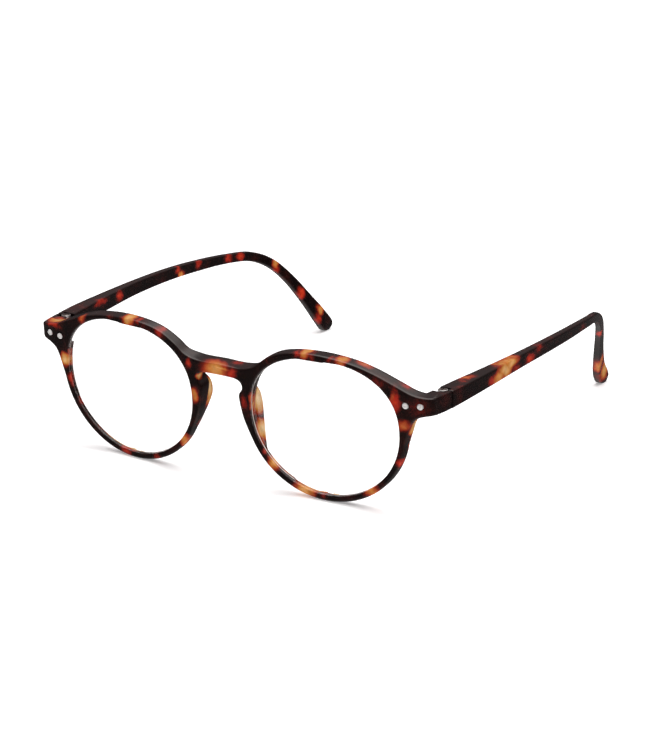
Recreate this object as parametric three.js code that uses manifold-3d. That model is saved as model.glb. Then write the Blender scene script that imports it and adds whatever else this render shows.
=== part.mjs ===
// Folding reading glasses: round panto front with a keyhole bridge and two folding temples.
//
// Units are millimetres. +Z is up, the front faces -Y and +X is the wearer's left.
// Shapes are drawn around the middle of the bridge, on the level of the lens centres, and the
// finished group is then moved so that it stands on z = 0 with its bounding box centred.

import * as THREE from 'three';
import { mergeVertices } from 'three/addons/utils/BufferGeometryUtils.js';
import Module from 'manifold-3d';

const wasm = await Module();
wasm.setup();

// ---------------------------------------------------------------- driving dimensions

const TILT = THREE.MathUtils.degToRad(7.75); // lean of the front: its lower edge is nearer the face
const WRAP = 0.00118; // how far the front bows back, per mm squared from its middle
const DROOP = 0.0004; // the same bow from the lens centres up and down
const END_TURN = 0.028; // extra backward turn of the end pieces
const END_TURN_START = 58;

const LENS_CENTRE = 32.3; // half the distance between the lens centres
const LENS_HALF_WIDTH = 22.5;
const LENS_RISE = 1.2; // the widest level lies this far above the lens centre
const LENS_TOP = 18.55; // opening height above its widest level
const LENS_BOTTOM = 22.05; // opening depth below it
const LENS_TOP_POWER = 2.3; // 2 is an ellipse, more is squarer

const RIM_WIDTH = 1.95;
const FRONT_DEPTH = 3.1; // front to back at the lower rim
const BROW_DEPTH = 4.2; // front to back at the outer brow and the end pieces
// Front to back along the top: distance from the middle, depth. The bridge is the thickest.
const TOP_DEPTHS = [[0, 5.1], [8, 5.1], [13, 4.0], [19, 3.75], [28, 3.8], [38, 4.15], [58, BROW_DEPTH]];
const BROW_LEVEL = 11; // the depth is full from this level up
const EDGE_ROUND = 0.55;

const LENS_SETBACK = 1.8; // middle of the lens edge behind the front face
const LENS_EDGE_THICK = 1.4;
const LENS_BULGE = 1.9; // dome of the lens
const LENS_GRIP = 0.5; // how far the lens reaches into its groove
const LENS_GAP = 0.25; // clearance around the lens in its groove

const HINGE_X = 62.7;
const HINGE_Y = 13.25;
const HINGE_TOP = 13.5;
const HINGE_BOTTOM = 8.7;
const KNUCKLE_RADIUS = 1.4;
const KNUCKLE_GAP = 0.12;
const LEAF_THICK = 0.9;
const LEAF_HEIGHT = 3.0;
const LEAF_LENGTH = 7.5;
const NOTCH_INWARD = 3; // clear space from the hinge axis towards the head
const NOTCH_REACH = 1.75; // the same outwards and backwards
const NOTCH_FORWARD = 2.5; // the same towards the front, where the folded temple swings in
const SEAM_GAP = 0.3; // between the end piece and the temple
const SCREW_RADIUS = 0.6;
const SCREW_HEAD_RADIUS = 1.0;
const SCREW_HEAD_HEIGHT = 0.6;
const SCREW_PLAY = 0.08;
const SCREW_SUNK = 0.1; // the shank ends inside the lowest knuckle
const SCREW_PROUD = 0.05;
const SLOT_WIDTH = 0.3;
const SLOT_DEPTH = 0.25;
const POCKET_GAP = 0.2; // around a leaf in its moulding

const RIVET_RADIUS = 0.9;
const RIVET_LENGTH = 2.2;
const RIVET_PROUD = 0.15;
const RIVET_GAP = 0.12;
const RIVET_PLACES = [[57.05, 10.2], [61.1, 10.3]];

// Upper edge of the front from the bridge to the end piece: [x, height].
const BROW = [
  [0, 13.6], [7.2, 13.5], [11.3, 14.6], [14.8, 17.3], [19.5, 19.9], [25.5, 21.15], [32.5, 21.35],
  [41.5, 20.25], [48, 18.35], [53.5, 16.0], [58.2, 13.85], [61.5, 12.95], [64.2, 12.75],
];
const END_PIECE_SIDE = [[64.8, 12.2], [64.9, 8.1], [64.3, 7.55]];
// Underside of the end piece down to the rim.
const UNDERCUT = [[64.3, 7.55], [61.5, 7.05], [59.6, 6.1], [58.5, 4.4], [57.5, 1.2]];
const RIM_START = THREE.MathUtils.degToRad(-8);
const RIM_END = THREE.MathUtils.degToRad(-156);
// Nose side of the rim, the keyhole and the lower edge of the bridge.
const KEYHOLE = [
  [8.5, -5.2], [7.3, -2], [6.5, 1.5], [6.1, 4.5], [6.35, 5.8], [7.1, 6.8], [7.3, 7.9], [6.85, 9.0],
  [5.7, 9.7], [4, 9.95], [0, 10.05],
];

// Nose pad: [height, depth it reaches behind the front, x at its root, x at its free edge].
const NOSE_PAD = [
  [9.3, 3.2, 8.6, 8.7], [6.8, 6.0, 8.1, 8.5], [3.8, 8.2, 7.8, 8.4], [0.2, 8.8, 8.0, 8.6],
  [-3, 7.8, 8.7, 9.4], [-6, 6.4, 9.7, 10.4], [-9.5, 4.6, 11.3, 11.75], [-12.5, 2.6, 13.3, 13.4],
];
const PAD_ROOT_DEPTH = 1.2;
const PAD_THICK = 1.9;
const PAD_TAPER = 0.2; // the free edge is thinner by this share

// End piece behind the front: [y, outer face, inner face, top, bottom].
const END_PIECE = [
  [6.0, 64.8, 59.8, 13.5, 8.3], [9.5, 65.3, 60.4, 13.6, 8.3],
  [HINGE_Y - SEAM_GAP / 2, 65.75, 60.7, 13.6, 8.4],
];

// Temple: [outer face x, thickness, upper edge y, upper edge z, lower edge y, lower edge z].
const TEMPLE_START = HINGE_Y + SEAM_GAP / 2;
const TEMPLE_END_LEVEL = -22.36; // the ends are flat and stand level with the lowest point of the rims
const TEMPLE = [
  [65.8, 5.1, TEMPLE_START, 13.6, TEMPLE_START, 8.4], [66.5, 4.9, 21, 13.8, 21, 8.9],
  [67.0, 4.0, 34, 13.95, 34, 9.35], [67.3, 2.8, 52, 14.05, 52, 9.85],
  [67.3, 2.4, 70, 13.8, 70, 9.9], [66.5, 2.25, 86, 13.1, 86, 9.5],
  [64.8, 2.15, 102.2, 11.9, 101.7, 8.75], [62.8, 2.1, 113.2, 10.45, 112, 7.4],
  [60.5, 2.1, 122.2, 6.5, 120.3, 3.7], [57.8, 2.25, 129.7, 0, 127, -2.5],
  [54.9, 2.4, 136.9, -8.2, 133.4, -11.0], [53.0, 2.6, 142.8, -14.8, 138.4, -18.2],
  [52.5, 2.5, 147.4, -20.2, 141.6, -21.7],
  [52.2, 1.7, 146.4, TEMPLE_END_LEVEL, 143.2, TEMPLE_END_LEVEL],
];
const TEMPLE_ROUND = 0.6;

// Fineness of the curves.
const TEMPLE_STEPS = 54;
const RIM_STEPS = 18;
const BROW_STEPS = 30;
const UNDERCUT_STEPS = 8;
const KEYHOLE_STEPS = 18;
const PAD_STEPS = 14;
const LENS_SIDES = 60;
const ROUND_SIDES = 24;
const CORNER_STEPS = 3;
const EDGE_STEPS = 2;

const CUT_PAST = 1; // cutting bodies reach this far past the material
const SHORTEST_EDGE = 0.004; // slivers finer than this are cleaned away after the booleans

// ---------------------------------------------------------------- colours

const tortoise = (name) => new THREE.MeshStandardMaterial({ name, color: 0x3a160c, roughness: 0.28 });
const silver = (name) => new THREE.MeshStandardMaterial({
  name, color: 0xc9c9cc, roughness: 0.3, metalness: 1,
});
const clear = new THREE.MeshStandardMaterial({
  name: 'lens', color: 0xf2f6f8, roughness: 0.05, transparent: true, opacity: 0.25,
});

// ---------------------------------------------------------------- solids and booleans

function solidOf(geometry) {
  const plain = geometry.index ? geometry.clone() : geometry;
  plain.deleteAttribute('normal');
  plain.deleteAttribute('uv');
  const merged = mergeVertices(plain, 1e-4);
  return new wasm.Manifold(new wasm.Mesh({
    numProp: 3,
    vertProperties: new Float32Array(merged.attributes.position.array),
    triVerts: new Uint32Array(merged.index.array),
  }));
}

function geometryOf(solid) {
  const mesh = solid.simplify(SHORTEST_EDGE).getMesh();
  const geometry = new THREE.BufferGeometry();
  geometry.setAttribute('position', new THREE.BufferAttribute(mesh.vertProperties, 3));
  geometry.setIndex(new THREE.BufferAttribute(mesh.triVerts, 1));
  geometry.computeVertexNormals();
  return geometry;
}

function box(xMin, xMax, yMin, yMax, zMin, zMax) {
  const geometry = new THREE.BoxGeometry(xMax - xMin, yMax - yMin, zMax - zMin);
  geometry.translate((xMin + xMax) / 2, (yMin + yMax) / 2, (zMin + zMax) / 2);
  return solidOf(geometry);
}

function uprightCylinder(x, y, zMin, zMax, radius) {
  const geometry = new THREE.CylinderGeometry(radius, radius, zMax - zMin, ROUND_SIDES);
  geometry.rotateX(Math.PI / 2);
  geometry.translate(x, y, (zMin + zMax) / 2);
  return solidOf(geometry);
}

// Closed skin over a row of rings with the same number of points, capped at both ends.
function loft(rings) {
  const sides = rings[0].length;
  const corners = rings.flat();
  const triangles = [];
  for (let ring = 0; ring < rings.length - 1; ring += 1) {
    for (let side = 0; side < sides; side += 1) {
      const a = ring * sides + side;
      const b = ring * sides + (side + 1) % sides;
      triangles.push(a, b, b + sides, a, b + sides, a + sides);
    }
  }
  for (const [ring, turned] of [[0, true], [rings.length - 1, false]]) {
    const middle = new THREE.Vector3();
    rings[ring].forEach((corner) => middle.addScaledVector(corner, 1 / sides));
    corners.push(middle);
    for (let side = 0; side < sides; side += 1) {
      const a = ring * sides + side;
      const b = ring * sides + (side + 1) % sides;
      triangles.push(...(turned ? [b, a, corners.length - 1] : [a, b, corners.length - 1]));
    }
  }
  const geometry = new THREE.BufferGeometry().setFromPoints(corners);
  geometry.setIndex(triangles);
  return solidOf(geometry);
}

// Rounded rectangle from -width/2 to width/2 and -height/2 to height/2, anticlockwise.
function roundedRectangle(width, height, round) {
  const largest = 0.49 * Math.min(width, height);
  const radius = Math.min(round, largest);
  const points = [];
  const middles = [[1, 1], [-1, 1], [-1, -1], [1, -1]];
  middles.forEach(([sx, sy], quarter) => {
    for (let step = 0; step <= CORNER_STEPS; step += 1) {
      const angle = (quarter + step / CORNER_STEPS) * Math.PI / 2;
      points.push([
        sx * (width / 2 - radius) + radius * Math.cos(angle),
        sy * (height / 2 - radius) + radius * Math.sin(angle),
      ]);
    }
  });
  return points;
}

// ---------------------------------------------------------------- the surface of the front

// Takes a point of the flat drawing (x, height, depth behind the front face) to its real place.
function onFront(x, height, depth) {
  const turn = Math.max(0, Math.abs(x) - END_TURN_START);
  const back = WRAP * x * x + DROOP * height * height + END_TURN * turn * turn + depth;
  return new THREE.Vector3(
    x,
    back * Math.cos(TILT) - height * Math.sin(TILT),
    height * Math.cos(TILT) + back * Math.sin(TILT),
  );
}

function topDepth(x) {
  let depth = TOP_DEPTHS[0][1];
  for (let row = 1; row < TOP_DEPTHS.length; row += 1) {
    const [from, before] = TOP_DEPTHS[row - 1];
    const [to, after] = TOP_DEPTHS[row];
    depth += (after - before) * THREE.MathUtils.smoothstep(Math.abs(x), from, to);
  }
  return depth;
}

function frontDepth(x, height) {
  const share = THREE.MathUtils.smoothstep(height, -BROW_LEVEL, BROW_LEVEL);
  return THREE.MathUtils.lerp(FRONT_DEPTH, topDepth(x), share);
}

// Distance from the lens centre to the edge of the opening.
function openingRadius(angle) {
  const across = Math.cos(angle);
  const up = Math.sin(angle);
  const high = up >= 0;
  const power = high ? LENS_TOP_POWER : 2;
  const reach = high ? LENS_TOP : LENS_BOTTOM;
  return (Math.abs(across / LENS_HALF_WIDTH) ** power + Math.abs(up / reach) ** power) ** (-1 / power);
}

// Point of the left opening, grown outwards: [x, height].
function openingPoint(angle, grow) {
  const radius = openingRadius(angle) + grow;
  return [LENS_CENTRE + radius * Math.cos(angle), LENS_RISE + radius * Math.sin(angle)];
}

function spline(points, steps) {
  const curve = new THREE.SplineCurve(points.map(([x, y]) => new THREE.Vector2(x, y)));
  return curve.getPoints(steps).map((point) => [point.x, point.y]);
}

// Left half of the outline, from the top of the bridge round to its underside.
function halfOutline() {
  const rim = [];
  for (let step = 0; step <= RIM_STEPS; step += 1) {
    rim.push(openingPoint(THREE.MathUtils.lerp(RIM_START, RIM_END, step / RIM_STEPS), RIM_WIDTH));
  }
  return [
    ...spline(BROW, BROW_STEPS).slice(0, -1),
    ...BROW.slice(-1),
    ...END_PIECE_SIDE,
    ...spline(UNDERCUT, UNDERCUT_STEPS).slice(1, -1),
    ...rim,
    ...spline(KEYHOLE, KEYHOLE_STEPS),
  ];
}

function frontPlate() {
  const left = halfOutline();
  const right = left.slice(1, -1).reverse().map(([x, height]) => [-x, height]);
  const shape = new THREE.Shape([...left, ...right].reverse().map(([x, y]) => new THREE.Vector2(x, y)));
  for (const side of [1, -1]) {
    const hole = [];
    for (let corner = 0; corner < LENS_SIDES; corner += 1) {
      const [x, height] = openingPoint(corner / LENS_SIDES * 2 * Math.PI, 0);
      hole.push(new THREE.Vector2(side * x, height));
    }
    shape.holes.push(new THREE.Path(side > 0 ? hole.reverse() : hole));
  }
  const geometry = new THREE.ExtrudeGeometry(shape, {
    depth: BROW_DEPTH - 2 * EDGE_ROUND,
    bevelThickness: EDGE_ROUND,
    bevelSize: EDGE_ROUND,
    bevelOffset: -EDGE_ROUND,
    bevelSegments: EDGE_STEPS,
    curveSegments: 1,
  });
  const place = geometry.attributes.position;
  for (let i = 0; i < place.count; i += 1) {
    const x = place.getX(i);
    const height = place.getY(i);
    const share = (BROW_DEPTH - EDGE_ROUND - place.getZ(i)) / BROW_DEPTH;
    const point = onFront(x, height, share * frontDepth(x, height));
    place.setXYZ(i, point.x, point.y, point.z);
  }
  return solidOf(geometry);
}

// ---------------------------------------------------------------- lenses

// Turns a profile of [share of the radius, grow, depth] round one opening.
function lensTurned(side, profile) {
  const points = profile.map(([share, , depth]) => new THREE.Vector2(share, depth));
  const geometry = new THREE.LatheGeometry(points, LENS_SIDES);
  const place = geometry.attributes.position;
  for (let i = 0; i < place.count; i += 1) {
    const [share, grow, depth] = profile[i % profile.length];
    const angle = Math.floor(i / profile.length) % LENS_SIDES * 2 * Math.PI / LENS_SIDES;
    const radius = share * (openingRadius(angle) + grow);
    const dome = LENS_BULGE * (1 - share * share);
    const x = side * (LENS_CENTRE + radius * Math.cos(angle));
    const point = onFront(x, LENS_RISE + radius * Math.sin(angle), depth - dome);
    place.setXYZ(i, point.x, point.y, point.z);
  }
  if (side > 0) {
    flip(geometry);
  }
  return solidOf(geometry);
}

function flip(geometry) {
  const index = geometry.index.array;
  for (let i = 0; i < index.length; i += 3) {
    [index[i], index[i + 1]] = [index[i + 1], index[i]];
  }
}

function lens(side) {
  const front = LENS_SETBACK - LENS_EDGE_THICK / 2;
  const back = LENS_SETBACK + LENS_EDGE_THICK / 2;
  return lensTurned(side, [
    [0, 0, front], [0.35, 0, front], [0.7, 0, front], [1, 0, front], [1, LENS_GRIP, LENS_SETBACK],
    [1, 0, back], [0.7, 0, back], [0.35, 0, back], [0, 0, back],
  ]);
}

// Room for the lens: a shallow groove all round the opening.
function lensGroove(side) {
  const half = LENS_EDGE_THICK / 2 + LENS_GAP;
  return lensTurned(side, [
    [0, 0, LENS_SETBACK - half], [0.9, 0, LENS_SETBACK - half],
    [1, LENS_GRIP + LENS_GAP, LENS_SETBACK - half], [1, LENS_GRIP + LENS_GAP, LENS_SETBACK + half],
    [0.9, 0, LENS_SETBACK + half], [0, 0, LENS_SETBACK + half],
  ]);
}

// ---------------------------------------------------------------- front mouldings

function nosePad(side) {
  const roots = new THREE.CatmullRomCurve3(
    NOSE_PAD.map(([height, reach, root]) => new THREE.Vector3(height, reach, root)),
  );
  const edges = new THREE.CatmullRomCurve3(
    NOSE_PAD.map(([height, reach, , edge]) => new THREE.Vector3(height, reach, edge)),
  );
  const rings = [];
  for (let step = 0; step <= PAD_STEPS; step += 1) {
    const { x: height, y: reach, z: root } = roots.getPoint(step / PAD_STEPS);
    const { z: edge } = edges.getPoint(step / PAD_STEPS);
    const length = reach - PAD_ROOT_DEPTH;
    const ring = roundedRectangle(PAD_THICK, length, PAD_THICK / 2).map(([across, along]) => {
      const share = along / length + 0.5;
      const x = THREE.MathUtils.lerp(root, edge, share) + across * (1 - PAD_TAPER * share);
      return onFront(side * x, height, PAD_ROOT_DEPTH + share * length);
    });
    rings.push(side > 0 ? ring.reverse() : ring);
  }
  return loft(rings);
}

// Ring across a bar that runs backwards: outer and inner face in x, upper and lower edge in y and z.
function barRing(side, outer, thick, upper, lower, round) {
  const height = Math.hypot(upper[0] - lower[0], upper[1] - lower[1]);
  const ring = roundedRectangle(thick, height, round).map(([across, up]) => {
    const share = up / height + 0.5;
    return new THREE.Vector3(
      side * (outer - thick / 2 + across),
      THREE.MathUtils.lerp(lower[0], upper[0], share),
      THREE.MathUtils.lerp(lower[1], upper[1], share),
    );
  });
  return side > 0 ? ring.reverse() : ring;
}

function endPiece(side) {
  return loft(END_PIECE.map(([y, outer, inner, top, bottom]) => (
    barRing(side, outer, outer - inner, [y, top], [y, bottom], EDGE_ROUND)
  )));
}

// Clear space round the hinge, open above, below and towards the head.
function hingeNotch(side) {
  const inner = side * (HINGE_X - NOTCH_INWARD);
  const outer = side * (HINGE_X + NOTCH_REACH);
  return box(
    Math.min(inner, outer), Math.max(inner, outer),
    HINGE_Y - NOTCH_FORWARD, HINGE_Y + NOTCH_REACH, HINGE_BOTTOM - CUT_PAST, HINGE_TOP + CUT_PAST,
  );
}

function leafPlate(side, yMin, yMax, grow) {
  const middle = (HINGE_TOP + HINGE_BOTTOM) / 2;
  const half = LEAF_THICK / 2 + grow;
  return box(
    side * HINGE_X - half, side * HINGE_X + half, yMin - grow, yMax + grow,
    middle - LEAF_HEIGHT / 2 - grow, middle + LEAF_HEIGHT / 2 + grow,
  );
}

// Round bar into the front, from one depth to another.
function rivetSolid(x, height, radius, front, back) {
  const geometry = new THREE.CylinderGeometry(radius, radius, back - front, ROUND_SIDES);
  geometry.translate(0, (front + back) / 2, 0);
  geometry.rotateX(TILT);
  const foot = onFront(x, height, 0);
  geometry.translate(foot.x, foot.y, foot.z);
  return solidOf(geometry);
}

function frontFrame() {
  let body = frontPlate();
  for (const side of [1, -1]) {
    const groove = lensGroove(side);
    const notch = hingeNotch(side);
    const pocket = leafPlate(side, HINGE_Y - LEAF_LENGTH, HINGE_Y, POCKET_GAP);
    body = body.add(nosePad(side)).add(endPiece(side));
    body = body.subtract(groove).subtract(notch).subtract(pocket);
    for (const [x, height] of RIVET_PLACES) {
      const radius = RIVET_RADIUS + RIVET_GAP;
      body = body.subtract(rivetSolid(side * x, height, radius, -CUT_PAST, RIVET_LENGTH + RIVET_GAP));
    }
  }
  return body;
}

// ---------------------------------------------------------------- temples

function temple(side) {
  const sides = new THREE.CatmullRomCurve3(
    TEMPLE.map(([outer, thick]) => new THREE.Vector3(outer, thick, 0)),
  );
  const upper = new THREE.CatmullRomCurve3(
    TEMPLE.map(([, , y, z]) => new THREE.Vector3(0, y, z)),
  );
  const lower = new THREE.CatmullRomCurve3(
    TEMPLE.map(([, , , , y, z]) => new THREE.Vector3(0, y, z)),
  );
  const rings = [];
  for (let step = 0; step <= TEMPLE_STEPS; step += 1) {
    const { x: outer, y: thick } = sides.getPoint(step / TEMPLE_STEPS);
    const { y: upperY, z: upperZ } = upper.getPoint(step / TEMPLE_STEPS);
    const { y: lowerY, z: lowerZ } = lower.getPoint(step / TEMPLE_STEPS);
    rings.push(barRing(side, outer, thick, [upperY, upperZ], [lowerY, lowerZ], TEMPLE_ROUND));
  }
  return loft(rings)
    .subtract(hingeNotch(side))
    .subtract(leafPlate(side, HINGE_Y, HINGE_Y + LEAF_LENGTH, POCKET_GAP));
}

// ---------------------------------------------------------------- hinges

const KNUCKLE_HEIGHT = (HINGE_TOP - HINGE_BOTTOM - 2 * KNUCKLE_GAP) / 3;

// Upright cylinder on the hinge axis.
function onAxis(side, zMin, zMax, radius) {
  return uprightCylinder(side * HINGE_X, HINGE_Y, zMin, zMax, radius);
}

function knuckleBottom(number) {
  return HINGE_BOTTOM + number * (KNUCKLE_HEIGHT + KNUCKLE_GAP);
}

function knuckle(side, number) {
  const bottom = knuckleBottom(number);
  return onAxis(side, bottom, bottom + KNUCKLE_HEIGHT, KNUCKLE_RADIUS);
}

// Space in which a knuckle of the other leaf turns.
function knuckleRoom(side, number) {
  const bottom = knuckleBottom(number) - KNUCKLE_GAP;
  const top = knuckleBottom(number) + KNUCKLE_HEIGHT + KNUCKLE_GAP;
  return onAxis(side, bottom, top, KNUCKLE_RADIUS + KNUCKLE_GAP);
}

function screwRoom(side) {
  const headSeat = HINGE_TOP - SCREW_HEAD_HEIGHT - SCREW_PLAY;
  const shank = onAxis(side, HINGE_BOTTOM - CUT_PAST, HINGE_TOP + CUT_PAST, SCREW_RADIUS + SCREW_PLAY);
  const head = onAxis(side, headSeat, HINGE_TOP + CUT_PAST, SCREW_HEAD_RADIUS + SCREW_PLAY);
  return shank.add(head);
}

// The front leaf has the upper and the lower knuckle.
function frontLeaf(side) {
  return leafPlate(side, HINGE_Y - LEAF_LENGTH, HINGE_Y, 0)
    .subtract(knuckleRoom(side, 1))
    .add(knuckle(side, 0))
    .add(knuckle(side, 2))
    .subtract(screwRoom(side));
}

// The temple leaf has the middle knuckle.
function templeLeaf(side) {
  return leafPlate(side, HINGE_Y, HINGE_Y + LEAF_LENGTH, 0)
    .subtract(knuckleRoom(side, 0))
    .subtract(knuckleRoom(side, 2))
    .add(knuckle(side, 1))
    .subtract(screwRoom(side));
}

function hingeScrew(side) {
  const shank = onAxis(side, HINGE_BOTTOM + SCREW_SUNK, HINGE_TOP - SLOT_DEPTH, SCREW_RADIUS);
  const head = onAxis(side, HINGE_TOP - SCREW_HEAD_HEIGHT, HINGE_TOP + SCREW_PROUD, SCREW_HEAD_RADIUS);
  const slot = box(
    side * HINGE_X - SLOT_WIDTH / 2, side * HINGE_X + SLOT_WIDTH / 2,
    HINGE_Y - SCREW_HEAD_RADIUS - CUT_PAST, HINGE_Y + SCREW_HEAD_RADIUS + CUT_PAST,
    HINGE_TOP - SLOT_DEPTH, HINGE_TOP + CUT_PAST,
  );
  return shank.add(head).subtract(slot);
}

// ---------------------------------------------------------------- assembly

const glasses = new THREE.Group();

function addPart(name, solid, material) {
  const mesh = new THREE.Mesh(geometryOf(solid), material);
  mesh.name = name;
  glasses.add(mesh);
}

addPart('front_frame', frontFrame(), tortoise('front'));
for (const [hand, side] of [['left', 1], ['right', -1]]) {
  addPart(`${hand}_lens`, lens(side), clear);
  addPart(`${hand}_temple`, temple(side), tortoise('temple'));
  addPart(`${hand}_front_leaf`, frontLeaf(side), silver('hinge'));
  addPart(`${hand}_temple_leaf`, templeLeaf(side), silver('hinge'));
  addPart(`${hand}_hinge_screw`, hingeScrew(side), silver('screw'));
  RIVET_PLACES.forEach(([x, height], number) => {
    const rivet = rivetSolid(side * x, height, RIVET_RADIUS, -RIVET_PROUD, RIVET_LENGTH);
    addPart(`${hand}_rivet_${number + 1}`, rivet, silver('rivet'));
  });
}

const bounds = new THREE.Box3().setFromObject(glasses);
const middle = bounds.getCenter(new THREE.Vector3());
glasses.position.set(-middle.x, -middle.y, -bounds.min.z);
glasses.updateMatrixWorld(true);

export default glasses;
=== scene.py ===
import math

import bpy
import numpy as np
from mathutils import Matrix, Vector
from mathutils.geometry import tessellate_polygon


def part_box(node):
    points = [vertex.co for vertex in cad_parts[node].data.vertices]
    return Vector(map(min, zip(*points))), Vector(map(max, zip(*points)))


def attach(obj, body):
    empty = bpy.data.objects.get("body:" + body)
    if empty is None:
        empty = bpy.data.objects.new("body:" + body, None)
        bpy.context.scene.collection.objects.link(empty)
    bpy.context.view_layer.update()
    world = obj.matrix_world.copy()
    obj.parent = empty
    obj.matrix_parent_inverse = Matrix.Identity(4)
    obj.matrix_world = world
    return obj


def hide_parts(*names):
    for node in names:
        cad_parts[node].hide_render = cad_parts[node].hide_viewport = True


# Reading glasses in polished tortoiseshell plastic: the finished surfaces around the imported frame.
#
# Lengths are in millimetres, in the drawing that the CAD part uses too: the origin is in the
# middle of the bridge on the level of the lens centres, x runs to the wearer's left, y backwards
# and z up. The meshes are moved to the frame's place and turned into metres as they are made.

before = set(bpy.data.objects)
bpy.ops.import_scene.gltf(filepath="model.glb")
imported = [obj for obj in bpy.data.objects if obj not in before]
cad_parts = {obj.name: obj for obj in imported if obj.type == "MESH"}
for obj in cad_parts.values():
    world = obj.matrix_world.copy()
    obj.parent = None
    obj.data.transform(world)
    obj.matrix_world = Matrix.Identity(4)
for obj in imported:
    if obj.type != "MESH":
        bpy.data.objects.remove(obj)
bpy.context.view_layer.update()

MM = 0.001

# ---------------------------------------------------------------- driving dimensions

# The front leans forwards by TILT. It bows backwards by WRAP times the square of the distance from
# its middle and DROOP times the square of the height, and its ends turn further back.
TILT = math.radians(7.75)
WRAP = 0.00118
DROOP = 0.0004
END_TURN = 0.028
END_TURN_START = 58

# A lens opening is an ellipse below its centre and a squarer curve above it.
LENS_CENTRE = 32.3
LENS_HALF_WIDTH = 22.5
LENS_RISE = 1.2
LENS_TOP = 18.55
LENS_BOTTOM = 22.05
LENS_TOP_POWER = 2.3

RIM_WIDTH = 1.95
FRONT_DEPTH = 3.1
BROW_LEVEL = 11
# Front to back along the top: distance from the middle, depth.
TOP_DEPTHS = [(0, 5.1), (8, 5.1), (13, 4.0), (19, 3.75), (28, 3.8), (38, 4.15), (58, 4.2)]

LENS_SETBACK = 1.8  # middle of the lens's edge behind the front face
LENS_EDGE_THICK = 1.4
LENS_BULGE = 1.9  # the lens's middle stands this far in front of its edge
LENS_GRIP = 0.5  # the bevel reaches this far into the plastic
LENS_CREST = 0.12  # half of the flat on top of the bevel
LENS_GAP = 0.25
GROOVE_DRAFT = 0.15
GROOVE_MOUTH = 0.9  # the groove's cutter starts at this share of the opening's radius

HINGE_X = 62.7
HINGE_Y = 13.25
HINGE_TOP = 13.5
HINGE_BOTTOM = 8.7
KNUCKLE_RADIUS = 1.4
KNUCKLE_GAP = 0.12
KNUCKLE_HEIGHT = (HINGE_TOP - HINGE_BOTTOM - 2 * KNUCKLE_GAP) / 3
KNUCKLE_EDGE = 0.14
LEAF_THICK = 0.9
LEAF_HEIGHT = 3.0
LEAF_LENGTH = 7.5
LEAF_EDGE = 0.15
# The notch for the knuckles goes this far from the hinge axis, NOTCH_REACH outwards and backwards.
NOTCH_INWARD = 3
NOTCH_REACH = 1.75
NOTCH_FORWARD = 2.5
SEAM_GAP = 0.3  # between an end piece and its temple
SCREW_RADIUS = 0.6
SCREW_HEAD_RADIUS = 1.0
SCREW_HEAD_HEIGHT = 0.6
SCREW_PLAY = 0.08
SCREW_SUNK = 0.1
SCREW_PROUD = 0.05
SCREW_TIP_EDGE = 0.15
SCREW_HEAD_EDGE = 0.16
SLOT_WIDTH = 0.3
SLOT_DEPTH = 0.25
POCKET_GAP = 0.2

RIVET_RADIUS = 0.9
RIVET_LENGTH = 2.2
RIVET_PROUD = 0.15
RIVET_GAP = 0.12
RIVET_PLACES = [(57.05, 10.2), (61.1, 10.3)]
# Head of a rivet, with a punch mark in its middle: radius, depth behind its foremost level.
RIVET_HEAD = [
    (0.02, 0.16), (0.12, 0.15), (0.24, 0.07), (0.32, 0.04), (0.5, 0.01), (RIVET_RADIUS - 0.22, 0.04),
    (RIVET_RADIUS - 0.11, 0.10), (RIVET_RADIUS - 0.04, 0.18), (RIVET_RADIUS, 0.3),
]

# Left half of the front's outline: x, height. Between UNDERCUT and KEYHOLE it follows the lens
# opening at RIM_WIDTH, from the angle RIM_START to RIM_END in degrees.
BROW = [
    (0, 13.6), (7.2, 13.5), (11.3, 14.6), (14.8, 17.3), (19.5, 19.9), (25.5, 21.15), (32.5, 21.35),
    (41.5, 20.25), (48, 18.35), (53.5, 16.0), (58.2, 13.85), (61.5, 12.95), (64.2, 12.75),
]
END_PIECE_SIDE = [(64.8, 12.2), (64.9, 8.1), (64.3, 7.55)]
UNDERCUT = [(64.3, 7.55), (61.5, 7.05), (59.6, 6.1), (58.5, 4.4), (57.5, 1.2)]
RIM_START = -8
RIM_END = -156
KEYHOLE = [
    (8.5, -5.2), (7.3, -2), (6.5, 1.5), (6.1, 4.5), (6.35, 5.8), (7.1, 6.8), (7.3, 7.9), (6.85, 9.0),
    (5.7, 9.7), (4, 9.95), (0, 10.05),
]

# Nose pad: height, depth it reaches behind the front, x at its root, x at its free edge.
NOSE_PAD = [
    (9.3, 3.2, 8.6, 8.7), (6.8, 6.0, 8.1, 8.5), (3.8, 8.2, 7.8, 8.4), (0.2, 8.8, 8.0, 8.6),
    (-3, 7.8, 8.7, 9.4), (-6, 6.4, 9.7, 10.4), (-9.5, 4.6, 11.3, 11.75), (-12.5, 2.6, 13.3, 13.4),
]
PAD_ROOT_DEPTH = 1.2
PAD_THICK = 1.9
PAD_TAPER = 0.2

# End piece behind the front: y, outer face, inner face, top, bottom.
END_PIECE = [
    (6.0, 64.8, 59.8, 13.5, 8.3), (9.5, 65.3, 60.4, 13.6, 8.3),
    (HINGE_Y - SEAM_GAP / 2, 65.75, 60.7, 13.6, 8.4),
]
END_PIECE_ROUND = 0.4

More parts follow.
